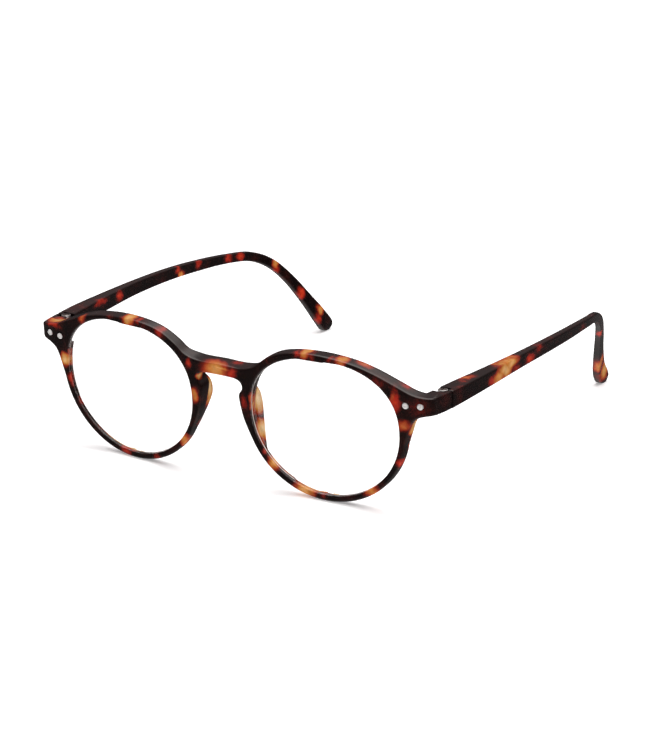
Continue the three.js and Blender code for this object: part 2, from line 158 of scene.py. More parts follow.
# Temple: outer face x, thickness, upper edge y and z, lower edge y and z.
TEMPLE_START = HINGE_Y + SEAM_GAP / 2
TEMPLE_END_LEVEL = -22.36
TEMPLE = [
    (65.8, 5.1, TEMPLE_START, 13.6, TEMPLE_START, 8.4), (66.5, 4.9, 21, 13.8, 21, 8.9),
    (67.0, 4.0, 34, 13.95, 34, 9.35), (67.3, 2.8, 52, 14.05, 52, 9.85),
    (67.3, 2.4, 70, 13.8, 70, 9.9), (66.5, 2.25, 86, 13.1, 86, 9.5),
    (64.8, 2.15, 102.2, 11.9, 101.7, 8.75), (62.8, 2.1, 113.2, 10.45, 112, 7.4),
    (60.5, 2.1, 122.2, 6.5, 120.3, 3.7), (57.8, 2.25, 129.7, 0, 127, -2.5),
    (54.9, 2.4, 136.9, -8.2, 133.4, -11.0), (53.0, 2.6, 142.8, -14.8, 138.4, -18.2),
    (52.5, 2.5, 147.4, -20.2, 141.6, -21.7),
    (52.2, 1.7, 146.4, TEMPLE_END_LEVEL, 143.2, TEMPLE_END_LEVEL),
]
# Rounding of the temple's long edges: distance back, radius.
TEMPLE_ROUNDING = [(20, 0.42), (60, 0.5), (110, 0.62), (140, 0.75)]
TEMPLE_FRONT_EDGE = 0.12
TEMPLE_TIP_EDGE = 0.3

# Fineness of the finished surfaces.
PLATE_EDGE = 0.45  # radius of the front's long edges
EDGE_STEPS = 5
VOXEL = 0.19
SOFTEN_STEPS = 12
INSET = 0.05  # the finished front lies this far inside its outline
SKIN = 0.06  # the finished temple lies this far inside its outline
BROW_STEPS = 160
UNDERCUT_STEPS = 40
RIM_STEPS = 120
KEYHOLE_STEPS = 90
END_PIECE_STEPS = 30
PAD_STEPS = 90
TEMPLE_STEPS = 420
LENS_STEPS = 26
LENS_SIDES = 180
ROUND_SIDES = 64
CORNER_STEPS = 8
FLAT_STEPS = 6
EDGE_SEGMENTS = 3
AXIS_RADIUS = 0.02  # a turned end has a hub this wide
LENS_HUB = 0.004  # and a lens one this share of its radius
# the frosted bevel's material also paints a glint of light on it
LENS_FROSTED_AND_GLINT, LENS_AGAINST_PLASTIC = 1, 2  # numbers of the lens's materials after its glass
MOST_ROUND = 0.49  # a section's corner takes at most this share of its sides
BEND_MIDDLE = 0.3  # a rounded edge's middle lies this share of its size in from the corner
CUT_PAST = 1
SHARP_ANGLE = math.radians(40)

# The stage, in metres.
FLOOR_HALF = 3
FLOOR_GLOW = 0.3
BACKDROP_RADIUS = 2.9
BACKDROP_HEIGHT = 4

# The studio's light: height from straight down (0) to straight up (1), strength of its red, and
# green and blue as a share of the red.
SKY = [
    (0.00, 0.70, 1.00), (0.12, 0.45, 1.00), (0.20, 0.12, 1.00), (0.38, 0.10, 0.90),
    (0.45, 0.05, 0.90), (0.51, 0.05, 0.90), (0.57, 0.16, 0.78), (0.66, 0.20, 0.78),
    (0.76, 0.30, 0.82), (0.86, 0.45, 0.90), (0.94, 1.70, 1.00), (1.00, 3.20, 1.00),
]
OVERHEAD_PLACE = (0.0, 0.25, 0.9)  # metres
OVERHEAD_SIZE = (1.1, 0.9)  # metres
OVERHEAD_POWER = 3.0  # watts

# The camera: azimuth, elevation and roll in degrees, its place in the drawing, its focal length.
CAMERA_ANGLES = (30.418, 17.984, 1.039)
CAMERA_PLACE = (355.794, -548.775, 222.425)
CAMERA_LENS = 118.88
CAMERA_CLIP = (0.05, 20)  # metres

# The drawing's origin in the frame: the left hinge screw says where the hinge axis really is.
screw_low, screw_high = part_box("left_hinge_screw")
ORIGIN = np.array([
    0,
    (screw_low.y + screw_high.y) / 2 / MM - HINGE_Y,
    screw_high.z / MM - HINGE_TOP - SCREW_PROUD,
])


# ---------------------------------------------------------------- curves and surfaces

def curve_through(points, count, centripetal=True):
    """Points at even steps along a Catmull-Rom curve, as an array with a row for each."""
    knots = np.array(points, float)
    first, last = knots[0], knots[-1]
    if centripetal:
        first, last = 2 * knots[0] - knots[1], 2 * knots[-1] - knots[-2]
    knots = np.vstack([first, knots, last])
    step = np.linspace(0, len(points) - 1, count)
    index = np.minimum(step.astype(int), len(points) - 2)
    t = (step - index)[:, None]
    p0, p1, p2, p3 = (knots[index + k] for k in range(4))

    def span(a, b):
        return np.sqrt(np.linalg.norm(b - a, axis=1, keepdims=True)) if centripetal else 1.0

    d0, d1, d2 = span(p0, p1), span(p1, p2), span(p2, p3)
    m1 = ((p1 - p0) / d0 - (p2 - p0) / (d0 + d1) + (p2 - p1) / d1) * d1
    m2 = ((p2 - p1) / d1 - (p3 - p1) / (d1 + d2) + (p3 - p2) / d2) * d1
    square, cube = t * t, t * t * t
    return (
        (2 * cube - 3 * square + 1) * p1 + (cube - 2 * square + t) * m1
        + (3 * square - 2 * cube) * p2 + (cube - square) * m2
    )


def on_front(points):
    """Takes rows of x, height, depth in the flat drawing to x, y, z on the bowed, leaning front."""
    x, height, depth = np.asarray(points, float).T
    turn = np.maximum(0, np.abs(x) - END_TURN_START)
    back = WRAP * x * x + DROOP * height * height + END_TURN * turn * turn + depth
    return np.column_stack([
        x,
        back * math.cos(TILT) - height * math.sin(TILT),
        height * math.cos(TILT) + back * math.sin(TILT),
    ])


def off_front(points):
    """The way back: rows of x, y, z to x, height, depth in the flat drawing."""
    x, y, z = np.asarray(points, float).T
    back = y * math.cos(TILT) + z * math.sin(TILT)
    height = z * math.cos(TILT) - y * math.sin(TILT)
    turn = np.maximum(0, np.abs(x) - END_TURN_START)
    depth = back - WRAP * x * x - DROOP * height * height - END_TURN * turn * turn
    return np.column_stack([x, height, depth])


def smoothstep(value, low, high):
    share = np.clip((value - low) / (high - low), 0, 1)
    return share * share * (3 - 2 * share)


def front_depth(x, height):
    """Depth of the plate, deeper at the bridge and the brow than at the lower rims."""
    top = np.full(len(x), float(TOP_DEPTHS[0][1]))
    for (start, before), (end, after) in zip(TOP_DEPTHS, TOP_DEPTHS[1:]):
        top += (after - before) * smoothstep(np.abs(x), start, end)
    share = smoothstep(height, -BROW_LEVEL, BROW_LEVEL)
    return FRONT_DEPTH + (top - FRONT_DEPTH) * share


def opening_points(angles, grow=0.0):
    """Edge of the left lens opening, grown outwards: rows of x, height."""
    across, up = np.cos(angles), np.sin(angles)
    power = np.where(up >= 0, LENS_TOP_POWER, 2.0)
    reach = np.where(up >= 0, LENS_TOP, LENS_BOTTOM)
    radius = (np.abs(across / LENS_HALF_WIDTH) ** power + np.abs(up / reach) ** power) ** (-1 / power)
    radius = radius + grow
    return np.column_stack([LENS_CENTRE + radius * across, LENS_RISE + radius * up])


def rounded_section(width, height, round_by):
    """Rounded rectangle about the origin, anticlockwise, with points along its flats too."""
    radius = min(round_by, MOST_ROUND * width, MOST_ROUND * height)
    corners = []
    for quarter, (sx, sy) in enumerate([(1, 1), (-1, 1), (-1, -1), (1, -1)]):
        angles = (quarter + np.linspace(0, 1, CORNER_STEPS)) * math.pi / 2
        corners.append(np.column_stack([
            sx * (width / 2 - radius) + radius * np.cos(angles),
            sy * (height / 2 - radius) + radius * np.sin(angles),
        ]))
    rows = []
    for k, corner in enumerate(corners):
        rows.append(corner)
        ahead = corners[(k + 1) % 4][0]
        share = np.linspace(0, 1, FLAT_STEPS + 2)[1:-1, None]
        rows.append(corner[-1] + (ahead - corner[-1]) * share)
    return np.vstack(rows)


# ---------------------------------------------------------------- meshes

def raw_object(name, points, faces):
    mesh = bpy.data.meshes.new(name)
    mesh.from_pydata(np.asarray(points, float).tolist(), [], faces)
    mesh.update()
    piece = bpy.data.objects.new(name, mesh)
    bpy.context.scene.collection.objects.link(piece)
    return piece


def lofted(rings):
    """Points and faces of a closed skin over rings with the same number of points."""
    sides = len(rings[0])
    points = np.vstack([*rings, rings[0].mean(0), rings[-1].mean(0)])
    faces = []
    for ring in range(len(rings) - 1):
        for side in range(sides):
            a = ring * sides + side
            b = ring * sides + (side + 1) % sides
            faces.append((a, b, b + sides, a + sides))
    start, end = len(points) - 2, len(points) - 1
    last = (len(rings) - 1) * sides
    for side in range(sides):
        after = (side + 1) % sides
        faces.append((after, side, start))
        faces.append((last + side, last + after, end))
    return points, faces


def turned(profile, sides):
    """Points and faces of a profile of (radius, height) rows turned about the z axis."""
    angles = np.arange(sides) * 2 * math.pi / sides
    ring = np.column_stack([np.cos(angles), np.sin(angles)])
    rings = [np.column_stack([ring * radius, np.full(sides, height)]) for radius, height in profile]
    return lofted(rings)


def swap_mesh(piece, mesh):
    old = piece.data
    piece.data = mesh
    bpy.data.meshes.remove(old)


def settle(piece):
    """Applies the piece's modifiers."""
    graph = bpy.context.evaluated_depsgraph_get()
    mesh = bpy.data.meshes.new_from_object(piece.evaluated_get(graph))
    piece.modifiers.clear()
    swap_mesh(piece, mesh)


def drop(piece):
    mesh = piece.data
    bpy.data.objects.remove(piece)
    bpy.data.meshes.remove(mesh)


def combine(piece, other, operation):
    """Joins other to piece or cuts it away, and deletes it."""
    change = piece.modifiers.new("combine", "BOOLEAN")
    change.object = other
    change.operation = operation
    change.solver = "MANIFOLD"
    settle(piece)
    drop(other)


def join(piece, other):
    """Puts the other mesh's faces into the piece as they are."""
    points, faces = [], []
    for source in (piece, other):
        first = len(points)
        points += [vertex.co[:] for vertex in source.data.vertices]
        faces += [[first + corner for corner in face.vertices] for face in source.data.polygons]
    mesh = bpy.data.meshes.new(piece.name)
    mesh.from_pydata(points, [], faces)
    swap_mesh(piece, mesh)
    drop(other)


def outward(piece):
    """Turns the faces of a closed mesh outwards."""
    mesh = piece.data
    mesh.calc_loop_triangles()
    points = np.empty(len(mesh.vertices) * 3)
    mesh.vertices.foreach_get("co", points)
    points = points.reshape(-1, 3)
    triangles = np.empty(len(mesh.loop_triangles) * 3, int)
    mesh.loop_triangles.foreach_get("vertices", triangles)
    a, b, c = (points[triangles.reshape(-1, 3)[:, k]] for k in range(3))
    if np.einsum("ij,ij->i", a, np.cross(b, c)).sum() < 0:
        mesh.flip_normals()
    return piece


def box_object(name, low, high):
    low, high = np.array(low, float), np.array(high, float)
    corners = [
        [(low, high)[bit][axis] for axis, bit in enumerate((k & 1, k >> 1 & 1, k >> 2 & 1))]
        for k in range(8)
    ]
    faces = [(0, 2, 3, 1), (4, 5, 7, 6), (0, 1, 5, 4), (2, 6, 7, 3), (0, 4, 6, 2), (1, 3, 7, 5)]
    return raw_object(name, corners, faces)


def soften(piece):
    """Runs overlapping solids into one moulded skin with soft edges and corners."""
    skin = piece.modifiers.new("skin", "REMESH")
    skin.mode = "VOXEL"
    skin.voxel_size = VOXEL
    smooth = piece.modifiers.new("smooth", "SMOOTH")
    smooth.factor = 0.5
    smooth.iterations = SOFTEN_STEPS
    inset = piece.modifiers.new("inset", "DISPLACE")
    inset.mid_level = 0
    inset.strength = -INSET
    settle(piece)


def reshape(piece, change):
    """Runs the piece's points through a function from rows to rows."""
    count = len(piece.data.vertices)
    points = np.empty(count * 3)
    piece.data.vertices.foreach_get("co", points)
    points = change(points.reshape(-1, 3))
    piece.data.vertices.foreach_set("co", np.ascontiguousarray(points, float).ravel())
    piece.data.update()


def finish_piece(piece, body, materials, nodes):
    """Puts a finished drawing into the frame, in metres, with its materials, on its body, hiding the
    CAD parts it replaces.
    """
    reshape(piece, lambda points: (points + ORIGIN) * MM)
    piece.data.shade_smooth()
    piece.data.set_sharp_from_angle(angle=SHARP_ANGLE)
    slots = piece.data.materials
    for number, material in enumerate(materials):
        if number < len(slots):
            slots[number] = material
        else:
            slots.append(material)
    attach(piece, body)
    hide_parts(*nodes)


# ---------------------------------------------------------------- the front

def half_outline():
    """Left half of the outline, from the top of the bridge round to its underside."""
    rim_angles = np.radians(np.linspace(RIM_START, RIM_END, RIM_STEPS))
    return np.vstack([
        curve_through(BROW, BROW_STEPS, centripetal=False),
        END_PIECE_SIDE,
        curve_through(UNDERCUT, UNDERCUT_STEPS, centripetal=False)[1:-1],
        opening_points(rim_angles, RIM_WIDTH),
        curve_through(KEYHOLE, KEYHOLE_STEPS, centripetal=False),
    ])


def is_anticlockwise(loop):
    ahead = np.roll(loop, -1, 0)
    return (loop[:, 0] * ahead[:, 1] - ahead[:, 0] * loop[:, 1]).sum() > 0


def inset_loop(loop, by, hole):
    """The loop moved into the plastic around or inside it."""
    ahead, behind = np.roll(loop, -1, 0), np.roll(loop, 1, 0)
    along = (ahead - behind) / np.linalg.norm(ahead - behind, axis=1, keepdims=True)
    inward = np.column_stack([-along[:, 1], along[:, 0]])
    return loop + inward * (by if is_anticlockwise(loop) != hole else -by)


def plate_layers(loops):
    """Copies of the loops from front to back, each drawn in as the round edges need."""
    full_depth = front_depth(*np.vstack(loops).T)
    front = []
    for turn in np.linspace(0, math.pi / 2, EDGE_STEPS):
        drawn_in = PLATE_EDGE * (1 - math.sin(turn))
        rows = [inset_loop(loop, drawn_in, number > 0) for number, loop in enumerate(loops)]
        depth = np.full(len(full_depth), PLATE_EDGE * (1 - math.cos(turn)))
        front.append(np.column_stack([np.vstack(rows), depth]))
    back = [np.column_stack([layer[:, :2], full_depth - layer[:, 2]]) for layer in front[::-1]]
    return front + back


def plate():
    """The front as a flat plate with round edges and its two openings, in the flat drawing."""
    left = half_outline()
    right = left[1:-1][::-1] * (-1, 1)
    opening = opening_points(np.arange(LENS_SIDES) * 2 * math.pi / LENS_SIDES)
    loops = [np.vstack([left, right]), opening, opening * (-1, 1)]
    layers = plate_layers(loops)
    flat = np.vstack(loops)
    count = len(flat)
    last = count * (len(layers) - 1)
    faces = []
    for a, b, c in tessellate_polygon([[Vector((x, y, 0)) for x, y in loop] for loop in loops]):
        if np.cross(flat[b] - flat[a], flat[c] - flat[a]) < 0:
            b, c = c, b
        faces.append((a, c, b))
        faces.append((a + last, b + last, c + last))
    first = 0
    for number, loop in enumerate(loops):
        turned_over = is_anticlockwise(loop) != (number == 0)
        for k in range(len(loop)):
            a, b = first + k, first + (k + 1) % len(loop)
            if turned_over:
                a, b = b, a
            for down in range(0, last, count):
                faces.append((a + down, b + down, b + down + count, a + down + count))
        first += len(loop)
    return outward(raw_object("front_frame_shell", np.vstack(layers), faces))


def nose_pad(side):
    """One moulded nose pad, in the flat drawing."""
    stations = curve_through(NOSE_PAD, PAD_STEPS)
    rings = []
    for height, reach, root, edge in stations:
        length = reach - PAD_ROOT_DEPTH
        across, along = rounded_section(PAD_THICK, length, PAD_THICK / 2).T
        share = along / length + 0.5
        x = root + (edge - root) * share + across * (1 - PAD_TAPER * share)
        rings.append(np.column_stack([
            side * x, np.full(len(x), height), PAD_ROOT_DEPTH + share * length,
        ]))
    return outward(raw_object("nose_pad", *lofted(rings)))


def bar_ring(side, outer, thick, upper, lower, round_by):
    """Ring across a bar that runs backwards, as in the CAD part."""
    height = math.dist(upper, lower)
    across, up = rounded_section(thick, height, round_by).T
    share = (up / height + 0.5)[:, None]
    line = np.array(lower) + (np.array(upper) - np.array(lower)) * share
    return np.column_stack([side * (outer - thick / 2 + across), line])


def end_piece(side):
    rings = [
        off_front(bar_ring(side, outer, outer - inner, (y, top), (y, bottom), END_PIECE_ROUND))
        for y, outer, inner, top, bottom in curve_through(END_PIECE, END_PIECE_STEPS)
    ]
    return outward(raw_object("end_piece", *lofted(rings)))


def lens_turned(name, side, profile):
    """A profile of share of the radius, grow and depth rows, turned round one opening."""
    angles = np.arange(LENS_SIDES) * 2 * math.pi / LENS_SIDES
    edge = opening_points(angles) - (LENS_CENTRE, LENS_RISE)
    length = np.linalg.norm(edge, axis=1)[:, None]
    rings = []
    for share, grow, depth in profile:
        across, up = (edge / length * (length + grow) * share).T
        level = np.full(LENS_SIDES, depth - LENS_BULGE * (1 - share * share))
        flat = np.column_stack([side * (LENS_CENTRE + across), LENS_RISE + up, level])
        rings.append(on_front(flat))
    return outward(raw_object(name, *lofted(rings)))


def lens(side):
    """A meniscus lens whose bevel sits in the groove.

    The bevel is frosted from the front to halfway down its back slope, pale and glowing as partly a
    painted glint, and the rest of that slope has the colour of the plastic that it touches.
    """
    half = LENS_EDGE_THICK / 2
    shares = np.linspace(LENS_HUB, 1, LENS_STEPS)
    front = [(share, 0, LENS_SETBACK - half) for share in shares]
    back = [(share, 0, LENS_SETBACK + half) for share in shares[::-1]]
    halfway_down = LENS_SETBACK + (LENS_CREST + half) / 2
    edge = [
        (1, LENS_GRIP, LENS_SETBACK - LENS_CREST),
        (1, LENS_GRIP, LENS_SETBACK + LENS_CREST),
        (1, LENS_GRIP / 2, halfway_down),
    ]
    piece = lens_turned("lens_blank", side, front + edge + back)
    bevel = len(front) - 1
    for face in piece.data.polygons:
        strip = face.index // LENS_SIDES - bevel
        if 0 <= strip < len(edge):
            face.material_index = LENS_FROSTED_AND_GLINT
        elif strip == len(edge):
            face.material_index = LENS_AGAINST_PLASTIC
    return piece


def lens_groove(side):
    front = LENS_SETBACK - LENS_EDGE_THICK / 2 - LENS_GAP
    back = LENS_SETBACK + LENS_EDGE_THICK / 2 + LENS_GAP
    grow = LENS_GRIP + LENS_GAP
    return lens_turned("groove_cutter", side, [
        (GROOVE_MOUTH, 0, front), (1, grow, front + GROOVE_DRAFT),
        (1, grow, back - GROOVE_DRAFT), (GROOVE_MOUTH, 0, back),
    ])


def hinge_notch(side):
    ends = sorted((side * (HINGE_X - NOTCH_INWARD), side * (HINGE_X + NOTCH_REACH)))
    return box_object(
        "notch_cutter",
        (ends[0], HINGE_Y - NOTCH_FORWARD, HINGE_BOTTOM - CUT_PAST),
        (ends[1], HINGE_Y + NOTCH_REACH, HINGE_TOP + CUT_PAST),
    )


def leaf_plate(name, side, y_low, y_high, grow):
    middle = (HINGE_TOP + HINGE_BOTTOM) / 2
    half = LEAF_THICK / 2 + grow
    return box_object(
        name,
        (side * HINGE_X - half, y_low - grow, middle - LEAF_HEIGHT / 2 - grow),
        (side * HINGE_X + half, y_high + grow, middle + LEAF_HEIGHT / 2 + grow),
    )


def into_front(x, height):
    """Takes rows turned about the z axis to a place on the front, with z going into it."""
    foot = on_front([(x, height, 0)])[0]
    lean = Matrix.Rotation(TILT, 3, "X") @ Matrix.Rotation(-math.pi / 2, 3, "X")
    return lambda points: points @ np.array(lean).T + foot


def rivet_hole(x, height):
    radius = RIVET_RADIUS + RIVET_GAP
    profile = [(radius, -CUT_PAST), (radius, RIVET_LENGTH + RIVET_GAP)]
    cutter = raw_object("rivet_cutter", *turned(profile, ROUND_SIDES))
    reshape(cutter, into_front(x, height))
    return outward(cutter)


def front_frame():
    body = plate()
    shells = [shape(side) for side in (1, -1) for shape in (nose_pad, end_piece)]
    for shell in shells:
        join(body, shell)
    soften(body)
    reshape(body, on_front)
    outward(body)
    for side in (1, -1):
        combine(body, lens_groove(side), "DIFFERENCE")
        combine(body, hinge_notch(side), "DIFFERENCE")
        pocket = leaf_plate("pocket_cutter", side, HINGE_Y - LEAF_LENGTH, HINGE_Y, POCKET_GAP)
        combine(body, pocket, "DIFFERENCE")
        for x, height in RIVET_PLACES:
            combine(body, rivet_hole(side * x, height), "DIFFERENCE")
    body.name = "tortoiseshell_front"
    return body


# ---------------------------------------------------------------- the temples

def temple(side):
    stations = curve_through(TEMPLE, TEMPLE_STEPS)
    rings = []
    for outer, thick, upper_y, upper_z, lower_y, lower_z in stations:
        along = (upper_y + lower_y) / 2
        round_by = np.interp(along, *zip(*TEMPLE_ROUNDING))
        upper, lower = (upper_y, upper_z), (lower_y, lower_z)
        ring = bar_ring(side, outer, thick, upper, lower, round_by)
        rings.append(shrunk(ring, SKIN))
    rings[0] = shrunk(rings[0], TEMPLE_FRONT_EDGE)
    rings.append(shrunk(rings[-1], TEMPLE_TIP_EDGE))
    piece = outward(raw_object("temple_bar", *lofted(rings)))
    combine(piece, hinge_notch(side), "DIFFERENCE")
    pocket = leaf_plate("pocket_cutter", side, HINGE_Y, HINGE_Y + LEAF_LENGTH, POCKET_GAP)
    combine(piece, pocket, "DIFFERENCE")
    return piece


def shrunk(ring, by):
    """The ring drawn in towards its middle."""
    middle = ring.mean(0)
    away = ring - middle
    length = np.linalg.norm(away, axis=1, keepdims=True)
    return middle + away * np.maximum(0, 1 - by / length)


# ---------------------------------------------------------------- the hinges and rivets

def on_axis(name, side, profile):
    """A profile of radius and height rows, turned about one hinge axis."""
    piece = raw_object(name, *turned(profile, ROUND_SIDES))
    reshape(piece, lambda points: points + (side * HINGE_X, HINGE_Y, 0))
    return outward(piece)


def knuckle_bottom(number):
    return HINGE_BOTTOM + number * (KNUCKLE_HEIGHT + KNUCKLE_GAP)


def knuckle(side, number):
    low = knuckle_bottom(number)
    high = low + KNUCKLE_HEIGHT
    radius, edge, middle = KNUCKLE_RADIUS, KNUCKLE_EDGE, KNUCKLE_EDGE * BEND_MIDDLE
    return on_axis("knuckle", side, [
        (radius - edge, low), (radius - middle, low + middle), (radius, low + edge),
        (radius, high - edge), (radius - middle, high - middle), (radius - edge, high),
    ])


def knuckle_room(side, number):
    low = knuckle_bottom(number) - KNUCKLE_GAP
    high = knuckle_bottom(number + 1)
    radius = KNUCKLE_RADIUS + KNUCKLE_GAP
    return on_axis("room", side, [(radius, low), (radius, high)])


def screw_room(side):
    seat = HINGE_TOP - SCREW_HEAD_HEIGHT - SCREW_PLAY
    shank, head = SCREW_RADIUS + SCREW_PLAY, SCREW_HEAD_RADIUS + SCREW_PLAY
    return on_axis("room", side, [
        (shank, HINGE_BOTTOM - CUT_PAST), (shank, seat), (head, seat), (head, HINGE_TOP + CUT_PAST),
    ])


def round_edges(piece, width):
    bevel = piece.modifiers.new("edges", "BEVEL")
    bevel.width = width
    bevel.segments = EDGE_SEGMENTS
    bevel.limit_method = "ANGLE"
    bevel.angle_limit = SHARP_ANGLE
    settle(piece)


def hinge_leaf(side, backwards, own, others):
    """One leaf: its plate, the knuckles it owns and room for the other leaf's."""
    span = (HINGE_Y, HINGE_Y + LEAF_LENGTH) if backwards else (HINGE_Y - LEAF_LENGTH, HINGE_Y)
    piece = leaf_plate("hinge_leaf", side, *span, 0)
    round_edges(piece, LEAF_EDGE)
    for number in others:
        combine(piece, knuckle_room(side, number), "DIFFERENCE")
    for number in own:
        combine(piece, knuckle(side, number), "UNION")
    combine(piece, screw_room(side), "DIFFERENCE")
    return piece


def hinge_screw(side):
    """Plain shank and a slotted cheese head with a rounded edge."""
    bottom, top = HINGE_BOTTOM + SCREW_SUNK, HINGE_TOP + SCREW_PROUD
    seat = HINGE_TOP - SCREW_HEAD_HEIGHT
    head, edge, middle = SCREW_HEAD_RADIUS, SCREW_HEAD_EDGE, SCREW_HEAD_EDGE * BEND_MIDDLE
    piece = on_axis("hinge_screw", side, [
        (SCREW_RADIUS - SCREW_TIP_EDGE, bottom), (SCREW_RADIUS, bottom + SCREW_TIP_EDGE),
        (SCREW_RADIUS, seat), (head, seat), (head, top - edge), (head - middle, top - middle),
        (head - edge, top), (AXIS_RADIUS, top),
    ])
    slot = box_object(
        "slot_cutter",
        (side * HINGE_X - SLOT_WIDTH / 2, HINGE_Y - head - CUT_PAST, HINGE_TOP - SLOT_DEPTH),
        (side * HINGE_X + SLOT_WIDTH / 2, HINGE_Y + head + CUT_PAST, HINGE_TOP + CUT_PAST),
    )
    combine(piece, slot, "DIFFERENCE")
    return piece


def rivet(x, height):
    """A turned pin with a softly crowned head and a small punch mark in it."""
    head = [(radius, depth - RIVET_PROUD) for radius, depth in RIVET_HEAD]
    profile = [*head, (RIVET_RADIUS, RIVET_LENGTH)]
    piece = raw_object("rivet", *turned(profile, ROUND_SIDES))
    reshape(piece, into_front(x, height))
    return outward(piece)


# ---------------------------------------------------------------- materials

def fill_ramp(node, stops):
    """Puts rows of position and colour on a colour ramp."""
    points = node.color_ramp.elements
    while len(points) < len(stops):
        points.new(0.5)
    for point, (position, colour) in zip(points, stops):
        point.position = position
        point.color = (*colour, 1)


class Nodes:
    """A short way to write a material's nodes."""

    def __init__(self, name):
        self.material = bpy.data.materials.new(name)
        self.material.use_nodes = True
        self.tree = self.material.node_tree
        self.shader = self.tree.nodes["Principled BSDF"]
        self.place = self.tree.nodes.new("ShaderNodeTexCoord").outputs["Object"]

    def add(self, kind, settings=(), inputs=()):
        node = self.tree.nodes.new(kind)
        for key, value in dict(settings).items():
            setattr(node, key, value)
        for key, value in dict(inputs).items():
            self.feed(node.inputs[key], value)
        return node

    def feed(self, socket, value):
        if isinstance(value, bpy.types.NodeSocket):
            self.tree.links.new(value, socket)
        else:
            socket.default_value = value

    def math(self, operation, *values):
        inputs = dict(enumerate(values))
        return self.add("ShaderNodeMath", {"operation": operation}, inputs).outputs[0]

    def vector(self, operation, *values, output=0):
        inputs = dict(enumerate(values))
        node = self.add("ShaderNodeVectorMath", {"operation": operation}, inputs)
        return node.outputs[output]

    def noise(self, vector, scale, detail=2.0, roughness=0.5, output="Fac"):
        inputs = {"Vector": vector, "Scale": scale, "Detail": detail, "Roughness": roughness}
        return self.add("ShaderNodeTexNoise", (), inputs).outputs[output]

    def ramp(self, factor, stops):
        node = self.add("ShaderNodeValToRGB", (), {"Fac": factor})
        fill_ramp(node, stops)
        return node.outputs["Color"]

    def mix(self, a, b, blend):
        settings = {"data_type": "RGBA", "blend_type": blend}
        return self.add("ShaderNodeMix", settings, {0: 1.0, 6: a, 7: b}).outputs[2]

    def grey(self, value):
        return self.add("ShaderNodeCombineColor", (), {0: value, 1: value, 2: value}).outputs[0]

    def range(self, value, low, high, new_low, new_high):
        inputs = dict(enumerate((value, low, high, new_low, new_high)))
        return self.add("ShaderNodeMapRange", (), inputs).outputs[0]

    def bump(self, height, strength, distance):
        inputs = {"Height": height, "Strength": strength, "Distance": distance}
        self.feed(self.shader.inputs["Normal"], self.add("ShaderNodeBump", (), inputs).outputs[0])

    def set(self, **values):
        """Feeds the shader's sockets, named with underscores for spaces, from nodes or numbers."""
        for name, value in values.items():
            self.feed(self.shader.inputs[name.replace("_", " ")], value)


# Colours are linear red, green and blue. BASE is the dark plastic between the patches.
BASE = (0.0048, 0.0018, 0.0020)
AMBER_RAMP = [
    (0.00, BASE),
    (0.06, (0.016, 0.0030, 0.0028)),
    (0.12, (0.040, 0.0048, 0.0034)),
    (0.18, (0.095, 0.0070, 0.0040)),
    (0.25, (0.210, 0.0150, 0.0055)),
    (0.33, (0.360, 0.0400, 0.0090)),
    (0.42, (0.480, 0.0950, 0.0200)),
    (0.56, (0.610, 0.2250, 0.0430)),
    (0.76, (0.750, 0.4000, 0.1350)),
    (1.00, (0.860, 0.6400, 0.3500)),
]
RED_RAMP = [
    (0.00, BASE),
    (0.05, (0.014, 0.0028, 0.0026)),
    (0.10, (0.036, 0.0042, 0.0032)),
    (0.16, (0.130, 0.0068, 0.0040)),
    (0.22, (0.340, 0.0150, 0.0060)),
    (0.31, (0.570, 0.0380, 0.0100)),
]
RED_BELOW = 0.35  # weaker patches than this are red all through, and stronger ones amber inside
PATCH_REACH = {"red": 1.15, "amber": 1.2}  # a patch fades softly to a little past its half sizes

# Scales of the noises, in cycles a metre.
WANDER_SCALE = 240
RAGGED_SCALE = 900
SMOKE_SCALE = 150
STREAK_SCALE = 620
GLOSS_SCALE = 420
RIPPLE_SCALE = 700
# mottling of the painted light on the lower inner walls
PAINTED_LIGHT_SCALE = 260
FILM_SCALE = 90
GRINDING_SCALE = 2600
BRUSHING_SCALE = 1500
CLOUD_SCALE = 1800
FLOOR_SCALE = 40
BACKDROP_SCALE = 4
WANDER_REACH = 0.0032  # metres that a patch's outline may wander
RAGGED_REACH = 0.03
SMOKE_STRENGTH = 0.13
STREAK_SHADES = (0.8, 1.08)
GLOSS = (0.11, 0.17)  # roughness of the polished plastic

# Where the lower inner walls get painted light, in millimetres of the drawing.
PAINTED_LIGHT_WALL = (LENS_HALF_WIDTH ** 2 + 6, LENS_HALF_WIDTH ** 2 + 20)  # squared distance from the centre
PAINTED_LIGHT_DEPTH = (2.1, 2.8)
PAINTED_LIGHT_LEVEL = (-15, -17.5)
PAINTED_LIGHT_STRENGTH = (0.3, 0.95)


